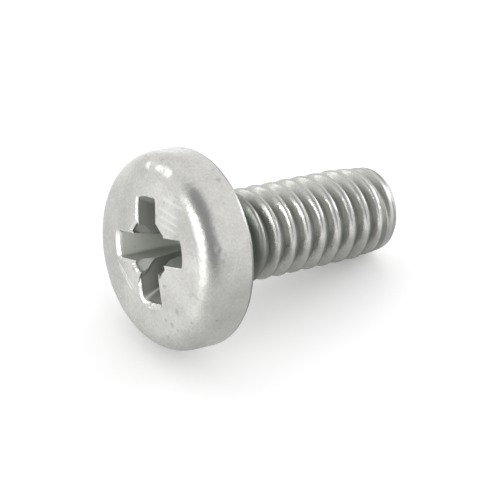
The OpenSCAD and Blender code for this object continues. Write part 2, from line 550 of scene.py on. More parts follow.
@dataclass
class CrossRecess:
    """The struck cross recess, type Z, No. 2, with fluted corners.

    Attributes:
        shift: How far the punch struck off the head's axis.
        across: Distance across opposite arms at the head's full height.
        wing: Width of an arm there.
        draft: Draft of the arms' sides, in degrees.
        end_slope: Slope of the arms' end walls from the axis, in degrees.
        core: Diameter at which the end walls stop.
        floor_slope: Rise of the pointed floor, in degrees.
        flute_across: Distance across opposite flutes.
        flute_depth: Depth of the flutes; below it they close at 45 degrees.
        flute_slope: Slope of the flutes from the axis, in degrees.
        turn: Turn of the first arm about the axis, in degrees.
        notches: Width of the flat ended notch that each flute is struck as.
        end_round: Rounding in the corners of an arm's end.
        flute_round: Rounding on a flute's edges.
        flute_clear: Least distance of a flute outside the sharp corner between two arms.
        arm_clear: Least length by which an arm stands out past its flutes.
        edges: The stretches with a wide roll.
        flare_depth: Depth at which a wall that leans out is back in place.
        edge_width: Width of the roll elsewhere.
        edge_drop: Depth of the roll elsewhere.
        edge_stain_and_shade: How dark the walls are elsewhere, 0 to 1, from film and painted shade.
        roll_power: Fullness of the roll's section; 2 is an ellipse.
        lip_shine: How bright the widest rolls are rubbed, 0 to 1.
        lip_tarnish: Tarnish of the rolls.
        rubbed_columns: Width of the bright line in a rubbed corner, in columns.
        burr_grain: Unevenness of the burrs.
    """

    shift: float
    across: float = 4.45
    wing: float = 1.14
    draft: float = 7.0
    end_slope: float = 26.5
    core: float = 2.2
    floor_slope: float = 28.0
    flute_across: float = 2.44
    flute_depth: float = 0.2
    flute_slope: float = 12.0
    turn: float = 24.5
    notches: tuple[float, ...] = (0.5, 0.5, 0.5, 0.9)
    end_round: float = 0.09
    flute_round: float = 0.05
    flute_clear: float = 0.035
    arm_clear: float = 0.25
    edges: tuple[RolledEdge, ...] = (
        RolledEdge(0, Wall.AHEAD, 0.13, 0.045, 0.008, 0.0, 0.5),
        RolledEdge(0, Wall.BEHIND, 0.055, 0.045, 0.0, 0.05, 0.5),
        RolledEdge(0, Wall.FLUTE, 0.09, 0.06, 0.006, 0.0, 1.0),
        RolledEdge(1, Wall.END, 0.17, 0.110, 0.003, 0.0, 0.0),
        RolledEdge(1, Wall.AHEAD, 0.10, 0.07, 0.001),
        RolledEdge(1, Wall.FLUTE, 0.10, 0.08, 0.006, 0.0, 0.2),
        RolledEdge(2, Wall.BEHIND, 0.125, 0.07, 0.005, 0.17, 0.8),
        RolledEdge(2, Wall.END, 0.14, 0.14, 0.014, 0.16, 0.9),
        RolledEdge(2, Wall.FLUTE, 0.10, 0.07, 0.006),
        RolledEdge(3, Wall.BEHIND, 0.12, 0.07, 0.001),
    )
    flare_depth: float = 0.9
    edge_width: float = 0.055
    edge_drop: float = 0.045
    edge_stain_and_shade: float = 0.4
    roll_power: float = 1.85
    lip_shine: float = 0.35
    lip_tarnish: float = 0.2
    rubbed_columns: float = 1.6
    burr_grain: Grain = field(default_factory=lambda: Grain(21, 0.26, 18))

    END_STEPS: ClassVar[int] = 11
    ROUND_STEPS: ClassVar[int] = 5
    SIDE_STEPS: ClassVar[int] = 17
    FLUTE_STEPS: ClassVar[int] = 10
    WALL_LEVELS: ClassVar[tuple[float, ...]] = (
        1.4, 1.2, 0.95, 0.7, 0.5, 0.38, 0.3, 0.26, 0.22, 0.16, 0.1, 0.05, 0.02, 0.0,
    )
    LEDGE_SHARES: ClassVar[tuple[float, ...]] = (0.1, 0.35, 0.6, 0.85, 1.0)
    FLOOR_SHARES: ClassVar[tuple[float, ...]] = (0.12, 0.3, 0.48, 0.64, 0.78, 0.9, 1.0)
    COARSE_SHARE: ClassVar[float] = 0.5
    ROLL_RINGS: ClassVar[int] = 10
    SECTIONS: ClassVar[int] = 160
    GROWTH: ClassVar[float] = 0.1

    def flute_reach(self, depth: float) -> float:
        """Returns the distance from the middle to a flute at a depth."""
        upper = min(depth, self.flute_depth)
        closing = max(0.0, depth - self.flute_depth)
        return self.flute_across / 2 - upper * math.tan(math.radians(self.flute_slope)) - closing

    @property
    def wall_depth(self) -> float:
        """Depth at which the end walls stop."""
        return (self.across - self.core) / 2 / math.tan(math.radians(self.end_slope))

    @property
    def half_count(self) -> int:
        """Steps from the middle of an arm's end to the middle of a flute."""
        return self.END_STEPS + 2 * self.ROUND_STEPS + self.SIDE_STEPS + self.FLUTE_STEPS

    @property
    def columns(self) -> int:
        """Points in one ring round the recess."""
        return 2 * ARMS * self.half_count

    def outline(self, depth: float, grow: float = 0.0) -> np.ndarray:
        """Draws the recess's section at a depth.

        Args:
            depth: Depth below the head's full height.
            grow: Distance by which the outline is set out into the metal.

        Returns:
            One ring of X and Y about the recess's own middle, counterclockwise.
        """
        angles = math.radians(self.turn) + np.arange(ARMS) * FULL_TURN / ARMS
        turned = [
            self.quarter(depth, grow, notch)
            @ np.array(((math.cos(a), math.sin(a)), (-math.sin(a), math.cos(a))))
            for a, notch in zip(angles, self.notches)
        ]
        return np.concatenate(turned)

    def quarter(self, depth: float, grow: float, notch: float) -> np.ndarray:
        """Draws the section from the middle of one arm's end to the next arm's.

        Args:
            depth: Depth below the head's full height.
            grow: Distance by which the outline is set out into the metal.
            notch: Width of the flute's notch.

        Returns:
            X and Y for an arm along +X, without the next arm's first point.
        """
        reach = self.across / 2 - depth * math.tan(math.radians(self.end_slope)) + grow
        half = self.wing / 2 - depth * math.tan(math.radians(self.draft)) + grow
        flute = max(self.flute_reach(depth) + grow, math.sqrt(2.0) * half + self.flute_clear)
        reach = max(reach, math.sqrt(2.0) * flute - half + self.arm_clear)
        corner = np.array((math.sqrt(reach**2 - half**2), half))
        turn = math.asin(half / reach)
        end_round = self.end_round + grow
        arc = np.linspace(0.0, turn - end_round / reach, self.END_STEPS + 1)
        end = reach * np.stack([np.cos(arc), np.sin(arc)], axis=1)
        side_start = corner - (end_round, 0.0)
        side = min(notch / 2 + grow, 0.88 * (flute - math.sqrt(2.0) * half))
        mouth = np.array((half + math.sqrt(2.0) * side, half))
        foot = np.array((flute + side, flute - side)) / math.sqrt(2.0)
        legs = min(self.flute_round, 0.3 * float(np.linalg.norm(foot - mouth)))
        side_end = mouth + (legs, 0.0)
        flute_start = mouth + legs * unit(foot - mouth)
        middle = np.full(2, flute / math.sqrt(2.0))
        stretches = [
            end[:-1],
            self.bend(end[-1], corner, side_start)[:-1],
            self.line(side_start, side_end, self.SIDE_STEPS)[:-1],
            self.bend(side_end, mouth, flute_start)[:-1],
            self.line(flute_start, foot, self.FLUTE_STEPS // 2)[:-1],
            self.line(foot, middle, self.FLUTE_STEPS - self.FLUTE_STEPS // 2),
        ]
        eighth = np.concatenate(stretches)
        return np.concatenate([eighth, eighth[-2:0:-1, ::-1]])

    def bend(self, start: np.ndarray, corner: np.ndarray, end: np.ndarray) -> np.ndarray:
        """Returns a rounded corner as a curve through its two ends."""
        share = np.linspace(0.0, 1.0, self.ROUND_STEPS + 1)[:, None]
        return (1 - share) ** 2 * start + 2 * share * (1 - share) * corner + share**2 * end

    @staticmethod
    def line(start: np.ndarray, end: np.ndarray, steps: int) -> np.ndarray:
        """Returns points along a straight stretch."""
        return start + np.linspace(0.0, 1.0, steps + 1)[:, None] * (end - start)

    @cached_property
    def sections(self) -> tuple[np.ndarray, np.ndarray]:
        """Depths down the recess and the outline at each."""
        depths = np.linspace(-0.1, self.wall_depth + 0.5, self.SECTIONS)
        return depths, np.stack([self.outline(depth) for depth in depths])

    @cached_property
    def outward(self) -> np.ndarray:
        """The way out into the metal at each column."""
        return (self.outline(0.0, self.GROWTH) - self.outline(0.0)) / self.GROWTH

    def at_depth(self, depth: np.ndarray) -> np.ndarray:
        """Finds each column's point at its own depth.

        Args:
            depth: One depth for each column.

        Returns:
            X and Y of each column about the recess's own middle.
        """
        depths, rings = self.sections
        place = (depth - depths[0]) / (depths[1] - depths[0])
        low = np.clip(np.floor(place).astype(int), 0, len(depths) - 2)
        share = (place - low)[:, None]
        column = np.arange(self.columns)
        flat = (1 - share) * rings[low, column] + share * rings[low + 1, column]
        lean = self.edge_sizes[3] * smooth_step(1.0 - depth / self.flare_depth)
        return flat + self.outward * lean[:, None]

    @cached_property
    def edge_sizes(self) -> np.ndarray:
        """Width, drop, burr, flare and darkness from stain and painted shade of the edge, a row
        each, for every column.
        """
        plain = (self.edge_width, self.edge_drop, 0.0, 0.0, self.edge_stain_and_shade)
        sizes = np.tile(plain, (self.columns, 1))
        side = self.END_STEPS + self.ROUND_STEPS
        flute = side + self.SIDE_STEPS + self.ROUND_STEPS
        quarter = 2 * self.half_count
        spans = {
            Wall.END: (-self.END_STEPS - 1, self.END_STEPS + 1),
            Wall.AHEAD: (side - 2, flute - self.ROUND_STEPS + 2),
            Wall.BEHIND: (-flute + self.ROUND_STEPS - 2, 2 - side),
            Wall.FLUTE: (flute - 2, quarter - flute + 2),
        }
        for edge in self.edges:
            low, high = spans[edge.wall]
            columns = (edge.arm * quarter + np.arange(low, high + 1)) % self.columns
            sizes[columns] = edge.width, edge.drop, edge.burr, edge.flare, edge.stain_and_shade
        kernel = np.hanning(9)
        kernel /= kernel.sum()
        reach = len(kernel) // 2
        wrapped = np.concatenate([sizes[-reach:], sizes, sizes[:reach]])
        return np.stack([np.convolve(column, kernel, "valid") for column in wrapped.T])

    def floor_height(self, head: HeadForm, radius: np.ndarray) -> np.ndarray:
        """Returns the height of the pointed floor at a distance from its middle."""
        rise = math.tan(math.radians(self.floor_slope))
        return head.height - self.wall_depth - (self.core / 2 - radius) * rise

    def build(self, skin: Skin, head: HeadForm) -> np.ndarray:
        """Grows the recess from the middle of its floor to its rolled edge.

        Args:
            skin: The skin that grows.
            head: The head in which the recess lies.

        Returns:
            Numbers of the outermost ring, on the top of the head.
        """
        offset = np.array((self.shift, 0.0))
        width, drop, burr, _, stain_and_shade = self.edge_sizes
        mouth = self.at_depth(np.zeros(self.columns))
        top_depth = head.height - head.top(np.linalg.norm(mouth + offset, axis=1))
        foot_depth = np.full(self.columns, self.wall_depth)
        for _ in range(12):
            radius = np.linalg.norm(self.at_depth(foot_depth), axis=1)
            foot_depth = head.height - self.floor_height(head, radius)
        foot = self.at_depth(foot_depth)

        ring = self.floor(skin, head, foot, offset)
        # The bright line runs down the corner at the end of the arm opposite the first
        corner = 2 * (2 * self.half_count) - self.END_STEPS - self.ROUND_STEPS / 2
        brightened = np.exp(-(((np.arange(self.columns) - corner) / self.rubbed_columns) ** 2))
        start = top_depth + drop
        ledge = np.maximum(self.flute_depth, start + 0.03)
        levels = [ledge + below for below in self.WALL_LEVELS]
        levels += [ledge + (start - ledge) * share for share in self.LEDGE_SHARES]
        for depth in levels:
            points = np.column_stack([self.at_depth(depth) + offset, head.height - depth])
            # Film and painted shade deepen down the walls; each wall's darkness is partly painted
            # shade.
            soil = smooth_step((depth - start) / 0.08) * (1.0 - 0.8 * brightened)
            ring = skin.grow(ring, points, brightened, soil, stain_and_shade)
        for turn in np.linspace(0.0, math.pi / 2, self.ROLL_RINGS)[1:]:
            out = 1.0 - math.cos(turn) ** self.roll_power
            down = 1.0 - math.sin(turn) ** self.roll_power
            middle = math.sin(2.0 * turn)
            flat = self.at_depth(top_depth + drop * down)
            flat = flat + self.outward * (width * out)[:, None] + offset
            points = np.column_stack([flat, head.top(np.linalg.norm(flat, axis=1))])
            points[:, 2] -= drop * down
            points[:, 2] += middle * burr * self.burr_grain.at(points)
            shine = self.lip_shine * middle * smooth_step(width / 0.12)
            ring = skin.grow(ring, points, shine, 0.1 * down, self.lip_tarnish * middle)
        return ring

    def floor(
        self, skin: Skin, head: HeadForm, foot: np.ndarray, offset: np.ndarray
    ) -> np.ndarray:
        """Grows the pointed floor out to the foot of the walls.

        Args:
            skin: The skin that grows.
            head: The head in which the recess lies.
            foot: X and Y of the foot of the walls.
            offset: Place of the recess on the head.

        Returns:
            Numbers of the ring at the foot.
        """
        ring = None
        for share in self.FLOOR_SHARES:
            flat = foot * share
            if share < self.COARSE_SHARE:
                flat = flat[::3]
            radius = np.linalg.norm(flat, axis=1)
            points = np.column_stack([flat + offset, self.floor_height(head, radius)])
            # The pointed floor gets full film and painted shade.
            here = skin.grow(ring, points, 0.0, 1.0, 0.5)
            if ring is None:
                skin.close(here, float(self.floor_height(head, 0.02)), True, 1.0)
            ring = here
        return ring


@dataclass
class PanHead:
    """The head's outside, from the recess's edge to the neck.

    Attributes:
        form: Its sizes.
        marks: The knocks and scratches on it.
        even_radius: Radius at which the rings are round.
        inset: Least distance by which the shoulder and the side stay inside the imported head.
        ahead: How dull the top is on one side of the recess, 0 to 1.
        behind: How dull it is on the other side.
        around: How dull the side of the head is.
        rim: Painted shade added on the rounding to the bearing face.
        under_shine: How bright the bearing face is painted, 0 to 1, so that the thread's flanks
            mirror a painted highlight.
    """

    form: HeadForm
    marks: HandlingMarks = field(default_factory=HandlingMarks)
    even_radius: float = 3.06
    inset: float = 0.001
    ahead: float = 0.33
    behind: float = 0.40
    around: float = 0.50
    rim: float = 0.7
    under_shine: float = 0.7
    FACE_RINGS: ClassVar[int] = 34

    def build(self, skin: Skin, edge: np.ndarray, turn: float) -> np.ndarray:
        """Grows the head over its top and side to the bearing face.

        Args:
            skin: The skin that grows.
            edge: Numbers of the ring at the recess's edge.
            turn: Turn of the recess, in degrees.

        Returns:
            Numbers of the ring at the bearing face's outer edge.
        """
        start = np.concatenate(skin.points)[edge]
        angle = math.radians(turn) + np.arange(len(edge)) * FULL_TURN / len(edge)
        circle = polar(1.0, angle, 0.0)[:, :2]
        ring = edge
        for share in np.linspace(0.0, 1.0, self.FACE_RINGS + 1)[1:]:
            flat = (1 - share) * start[:, :2] + share * self.even_radius * circle
            radius = np.linalg.norm(flat, axis=1)
            points = np.column_stack([flat, self.form.top(radius)])
            dull = self.dullness(points, radius / self.form.crown_radius)
            stain_and_shade = np.maximum(self.marks.stain_and_shade(points), dull)
            shine = self.marks.shine(points)
            points[:, 2] += self.marks.lift(points) * smooth_step(share * self.FACE_RINGS / 4)
            ring = skin.grow(ring, points, shine, 0.0, stain_and_shade)
        for radius, height, out, up in self.form.section(self.even_radius)[1:]:
            points = polar(radius, angle, height)
            margin = self.marks.ripple_height * 2.0 * min(1.0, 3.0 * out)
            sunk = np.minimum(self.marks.lift(points) - margin, -self.inset)
            # The rounding to the bearing face gets painted shade.
            dull = self.dullness(points, out) + self.rim * smooth_step(-5.0 * up)
            stain_and_shade = np.maximum(self.marks.stain_and_shade(points), np.minimum(dull, 1.0))
            points += polar(out, angle, up) * sunk[:, None]
            ring = skin.grow(ring, points, self.marks.shine(points), 0.0, stain_and_shade)
        return ring

    def dullness(self, points: np.ndarray, out: Any) -> np.ndarray:
        """Works out how dull and dark the plate is on parts of the top and round the side.

        Args:
            points: Points on the head.
            out: Radial part of the surface's normal there.

        Returns:
            The tarnish at each point, 0 to 1.
        """
        x, y = points[:, 0], points[:, 1]
        top = self.ahead * ramp(y, 0.2, 1.9)
        top += self.behind * ramp(y, -0.2, -1.9) * ramp(x, 0.9, 2.2)
        return top * (1.0 - out) + self.around * ramp(x, 2.7, 0.3) * out

    def bearing_face(self, skin: Skin, ring: np.ndarray, turn: float) -> np.ndarray:
        """Grows the flat bearing face in to the fillet.

        Args:
            skin: The skin that grows.
            ring: Numbers of the ring at its outer edge.
            turn: Turn of the first column, in degrees.

        Returns:
            Numbers of the ring at the fillet, with a third as many points.
        """
        outer = self.form.radius - self.form.rim_radius
        for step, radius in enumerate(np.linspace(outer, self.form.neck_reach, 6)[1:]):
            count = len(ring) if step != 1 else len(ring) // 3
            angle = math.radians(turn) + np.arange(count) * FULL_TURN / count
            points = polar(radius, angle, 0.0)
            # The bearing face is painted bright so the flanks mirror it as a highlight.
            ring = skin.grow(ring, points, self.under_shine, 0.0, 0.3 * (step == 0))
        return ring


@dataclass(frozen=True)
class ThreadWearAndShading:
    """How the plate on the thread is tarnished and filmed, with painted shade and painted
    highlights, each 0 to 1.

    Attributes:
        clean: Tarnish everywhere.
        crest: Tarnish added along a crest.
        root: Painted shade added in a root and on the flank that faces the tip.
        shaded: Painted shade of the head added on the first turns, off the crests.
        ended: Tarnish added by the tip.
        underside_shade: Painted shade added on the side that lies down.
        flank_highlight: Painted highlight on the flank that faces the head.
        film: Chalky film on the side that lies up, which also stands in for the light on that side.
        film_side: Turn of that side about the axis, in degrees.
        root_span: Depths below the crests between which a root's painted shade comes in.
        shaded_span: Heights between which the head's painted shade comes in.
        ended_span: Distances from the end between which it darkens by the tip.
    """

    clean: float = 0.05
    crest: float = 0.65
    root: float = 0.85
    shaded: float = 0.7
    ended: float = 0.2
    underside_shade: float = 0.38
    flank_highlight: float = 0.7
    film: float = 0.75
    film_side: float = 20.0
    root_span: tuple[float, float] = (0.28, 0.43)
    shaded_span: tuple[float, float] = (-3.1, -2.2)
    ended_span: tuple[float, float] = (1.2, 0.7)

    def at(self, angle: float, level: np.ndarray, offset: np.ndarray, depth: np.ndarray,
           left: np.ndarray) -> tuple[np.ndarray, np.ndarray, np.ndarray]:
        """Works out the finish along one column of the thread.

        Args:
            angle: The column's angle about the axis.
            level: Height of each point.
            offset: Its axial distance from the nearest crest's middle.
            depth: Its depth below the crests.
            left: Its distance from the screw's end.

        Returns:
            Painted flank highlight, film with painted light, and tarnish with painted shade at each
            point.
        """
        # Painted shade in the roots and on the flanks that face the tip.
        root = ramp(depth, *self.root_span)
        root = np.maximum(root, 0.6 * ramp(offset, -0.09, -0.15))
        crest = np.exp(-(((offset + 0.05) / 0.09) ** 2))
        # Painted shade of the head over the first turns.
        shaded = ramp(level, *self.shaded_span)
        ended = ramp(left, *self.ended_span)
        facing = math.cos(angle - math.radians(self.film_side))
        # Painted shade on the side that faces the floor.
        underside_shade = ramp(facing, 0.12, -0.38)
        # Chalky film painted only on the upward side: partly real film, partly painted light.
        film = self.film * ramp(facing, 0.62, 0.92) * (1.0 - shaded) * (1.0 - 0.6 * root)
        tarnish = self.clean + self.crest * crest + self.root * root
        tarnish += self.shaded * shaded * (1.0 - crest)
        tarnish += self.ended * ended + self.underside_shade * underside_shade
        tarnish = np.minimum(tarnish, 1.0) * (1.0 - 0.7 * film)
        # Painted highlight: a bright, smoother band on the flank that faces the head.
        flank_highlight = self.flank_highlight * np.exp(-(((offset - 0.14) / 0.10) ** 2))
        flank_highlight *= (1.0 - shaded) * (1.0 - ended) * (1.0 - underside_shade) * (1.0 - root)
        return flank_highlight, film, tarnish


@dataclass
class RolledThread:
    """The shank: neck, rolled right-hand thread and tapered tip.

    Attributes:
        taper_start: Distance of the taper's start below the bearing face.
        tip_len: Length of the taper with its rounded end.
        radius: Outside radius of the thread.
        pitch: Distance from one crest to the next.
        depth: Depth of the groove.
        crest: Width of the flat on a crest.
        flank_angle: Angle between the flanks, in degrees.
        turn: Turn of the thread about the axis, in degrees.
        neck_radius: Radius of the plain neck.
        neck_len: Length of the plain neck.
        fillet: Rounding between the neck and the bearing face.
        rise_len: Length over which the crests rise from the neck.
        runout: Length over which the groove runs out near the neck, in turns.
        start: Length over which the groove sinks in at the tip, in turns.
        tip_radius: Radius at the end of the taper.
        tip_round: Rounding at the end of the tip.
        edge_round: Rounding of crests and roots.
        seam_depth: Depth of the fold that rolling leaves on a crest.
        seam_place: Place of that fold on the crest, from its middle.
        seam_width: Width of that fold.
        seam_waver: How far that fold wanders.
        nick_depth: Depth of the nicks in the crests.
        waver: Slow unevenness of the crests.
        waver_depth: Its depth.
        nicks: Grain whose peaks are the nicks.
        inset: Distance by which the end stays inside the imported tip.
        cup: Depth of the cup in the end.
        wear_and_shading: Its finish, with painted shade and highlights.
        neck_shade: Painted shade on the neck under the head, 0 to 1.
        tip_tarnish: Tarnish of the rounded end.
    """

    taper_start: float
    tip_len: float = 1.8
    radius: float = 1.96
    pitch: float = 0.794
    depth: float = 0.45
    crest: float = 0.14
    flank_angle: float = 60.0
    turn: float = 7.0
    neck_radius: float = 1.78
    neck_len: float = 0.5
    fillet: float = 0.3
    rise_len: float = 0.6
    runout: float = 0.8
    start: float = 0.6
    tip_radius: float = 1.8
    tip_round: float = 0.3
    edge_round: float = 0.13
    seam_depth: float = 0.028
    seam_place: float = -0.035
    seam_width: float = 0.018
    seam_waver: float = 0.012
    nick_depth: float = 0.02
    waver: Grain = field(default_factory=lambda: Grain(31, 1.1))
    waver_depth: float = 0.004
    nicks: Grain = field(default_factory=lambda: Grain(32, 0.3, 20))
    inset: float = 0.002
    cup: float = 0.06
    wear_and_shading: ThreadWearAndShading = ThreadWearAndShading()
    neck_shade: float = 0.9
    tip_tarnish: float = 0.75
    SECTION_STEPS: ClassVar[int] = 794
    BEND_RINGS: ClassVar[int] = 9
    ROWS: ClassVar[tuple[float, ...]] = (
        -0.36, -0.33, -0.30, -0.26, -0.22, -0.18, -0.14, -0.11,
        -0.085, -0.06, -0.035, -0.01, 0.02, 0.05, 0.08, 0.11,
        0.15, 0.19, 0.23, 0.265, 0.30, 0.33, 0.36, 0.397,
    )

    @property
    def length(self) -> float:
        """Length of the shank below the bearing face."""
        return self.taper_start + self.tip_len

    def groove_section(self, offset: np.ndarray) -> np.ndarray:
        """Works out the full thread's radius, with rounded crests and roots.

        Args:
            offset: Axial distance of each point from a crest's middle.

        Returns:
            The radius at each point.
        """
        place = (np.arange(self.SECTION_STEPS) / self.SECTION_STEPS - 0.5) * self.pitch
        run = math.tan(math.radians(self.flank_angle / 2))
        fall = np.clip((np.abs(place) - self.crest / 2) / run, 0.0, self.depth)
        section = self.radius - fall
        half_window = int(self.edge_round / self.pitch * self.SECTION_STEPS)
        window = np.hanning(max(3, half_window * 2 + 1))
        window /= window.sum()
        reach = len(window) // 2
        wrapped = np.concatenate([section[-reach:], section, section[:reach]])
        rounded = np.convolve(wrapped, window, "valid")
        rounded += self.radius - rounded.max()
        return np.interp(offset, place, rounded, period=self.pitch)

    def envelope(self, height: np.ndarray) -> np.ndarray:
        """Works out the radius that the crests reach.

        Args:
            height: Height of each point, below zero.

        Returns:
            The radius of the blank there.
        """
        below = -height
        rise = np.clip((below - self.neck_len) / self.rise_len, 0.0, 1.0)
        outer = self.neck_radius + (self.radius - self.neck_radius) * rise
        run = self.tip_len - self.tip_round
        fall = np.clip((below - self.taper_start) / run, 0.0, 1.0)
        return outer - (self.radius - self.tip_radius) * fall

    def surface(self, height: np.ndarray, angle: np.ndarray, offset: np.ndarray) -> np.ndarray:
        """Returns the thread's radius.

        Args:
            height: Height of each point, below zero.
            angle: Its angle about the axis.
            offset: Its axial distance from the nearest crest's middle.

        Returns:
            The radius at each point.
        """
        outer = self.envelope(height)
        groove_level = height - offset + np.where(offset > 0.0, 0.5, -0.5) * self.pitch
        last = -self.neck_len - self.pitch / 2
        head_end = 1.0 - (last - groove_level) / self.pitch / self.runout
        first = self.tip_round - self.length
        tip_end = 1.0 - (groove_level - first) / self.pitch / self.start
        lift = (self.depth + 0.1) * np.clip(np.maximum(head_end, tip_end), 0.0, 1.5)
        groove = self.groove_section(offset) + lift
        radius = np.minimum(soft_min(outer, groove, 0.04) + 0.01, outer)
        around = polar(self.radius, angle, height)
        crest = np.exp(-((offset / 0.1) ** 2))
        seam_place = self.seam_place + self.seam_waver * self.waver.at(around)
        full = 1.0 - np.clip(lift / 0.3, 0.0, 1.0)
        seam = np.exp(-(((offset - seam_place) / self.seam_width) ** 2))
        open_share = 0.6 + 0.4 * self.waver.at(around * (1.0, 1.0, 3.0))
        radius -= full * self.seam_depth * seam * np.clip(open_share, 0.15, 1.0)
        nick = np.clip(self.nicks.at(around) - 0.9, 0.0, None)
        radius -= crest * self.nick_depth * nick
        return radius - self.waver_depth * (1.0 + self.waver.at(around * 0.7)) * crest

    def build(self, skin: Skin, ring: np.ndarray, turn: float) -> None:
        """Grows the shank from the fillet to the end of the tip.

        Args:
            skin: The skin that grows.
            ring: Numbers of the ring at the bearing face's inner edge.
            turn: Turn of the first column, in degrees.
        """
        angle = math.radians(turn) + np.arange(len(ring) + 1) * FULL_TURN / len(ring)
        for bend in np.linspace(0.0, math.pi / 2, self.BEND_RINGS)[1:]:
            radius = self.neck_radius + self.fillet * (1.0 - math.sin(bend))
            height = -self.fillet * (1.0 - math.cos(bend))
            # Painted shade on the fillet under the head.
            ring = skin.grow(ring, polar(radius, angle[:-1], height), 0.0, 0.0, 0.8)
        top, bottom = -self.neck_len, self.tip_round - self.length
        neck = polar(self.neck_radius, angle[:-1], top)
        # Painted shade on the neck under the head.
        ring = skin.grow(ring, neck, 0.0, 0.0, self.neck_shade)
        end = skin.add(polar(self.tip_radius, angle[:-1], bottom), 0.0, 0.0, self.tip_tarnish)
        self.helix(skin, ring, end, angle, (top, bottom))
        self.tip(skin, end, angle[:-1], bottom)

    def helix(
        self,
        skin: Skin,
        upper: np.ndarray,
        lower: np.ndarray,
        angle: np.ndarray,
        span: tuple[float, float],
    ) -> None:
        """Lays rows along the thread's helix between two level rings.

        Args:
            skin: The skin that grows.
            upper: Numbers of the ring above.
            lower: Numbers of the ring below.
            angle: Angle of each column, with the first repeated a turn later.
            span: Heights of the two rings.
        """
        rows = len(self.ROWS)
        columns = len(upper)
        margin = 0.01
        lowest = -self.length - 1.5 * self.pitch
        climb = self.pitch * (angle - math.radians(self.turn)) / FULL_TURN
        turns = int(math.ceil(self.length / self.pitch)) + 5
        number = np.arange(rows * turns)
        offsets = np.array(self.ROWS)[number % rows]
        level = lowest + self.pitch * (number // rows) + offsets
        heights = level[None, :] + climb[:, None]
        inside = (heights <= span[0] - margin) & (heights >= span[1] + margin)
        names = np.full(heights.shape, -1)
        for column in range(columns):
            chosen = np.flatnonzero(inside[column])
            height = heights[column, chosen]
            offset = offsets[chosen]
            radius = self.surface(height, np.full(len(chosen), angle[column]), offset)
            finish = self.wear_and_shading.at(
                angle[column], height, offset, self.radius - radius, height + self.length
            )
            points = polar(radius, angle[column], height)
            names[column, chosen] = skin.add(points, *finish)
        for row in np.flatnonzero(inside[columns]):
            names[columns, row] = names[0, row + rows]
        upper_ring = np.append(upper, upper[0])
        lower_ring = np.append(lower, lower[0])
        for column in range(columns):
            here = np.flatnonzero(inside[column])
            there = np.flatnonzero(inside[column + 1])
            left, right = names[column], names[column + 1]
            low, high = max(here[0], there[0]), min(here[-1], there[-1])
            quads = np.stack([
                left[low + 1:high + 1],
                left[low:high],
                right[low:high],
                right[low + 1:high + 1],
            ], axis=1)
            skin.faces.extend(map(tuple, quads.tolist()))
            rise = [int(left[row]) for row in range(here[-1], high - 1, -1)]
            back = [int(right[row]) for row in range(high, there[-1] + 1)]
            skin.faces.append(
                (int(upper_ring[column]), *rise, *back, int(upper_ring[column + 1]))
            )
            fall = [int(right[row]) for row in range(there[0], low + 1)]
            home = [int(left[row]) for row in range(low, here[0] - 1, -1)]
            skin.faces.append(
                (int(lower_ring[column]), int(lower_ring[column + 1]), *fall, *home)
            )

    def tip(self, skin: Skin, ring: np.ndarray, angle: np.ndarray, level: float) -> None:
        """Rounds the end of the tip and closes it with a shallow cup.

        Args:
            skin: The skin that grows.
            ring: Numbers of the last ring of the taper.
            angle: Angle of each column.
            level: Height of that ring.
        """
        for bend in np.linspace(0.0, math.pi / 2, self.BEND_RINGS)[1:]:
            radius = self.tip_radius - self.tip_round * (1.0 - math.cos(bend))
            height = level - (self.tip_round - self.inset) * math.sin(bend)
            ring = skin.grow(ring, polar(radius, angle, height), 0.0, 0.0, self.tip_tarnish)
        face = self.tip_radius - self.tip_round
        for share in (0.85, 0.65, 0.42, 0.2, 0.06):
            height = self.inset - self.length + self.cup * smooth_step((1.0 - share) * 1.6)
            ring = skin.grow(ring, polar(share * face, angle, height), 0.0, 0.1)
        skin.close(ring, self.cup - self.length, False, 0.1)


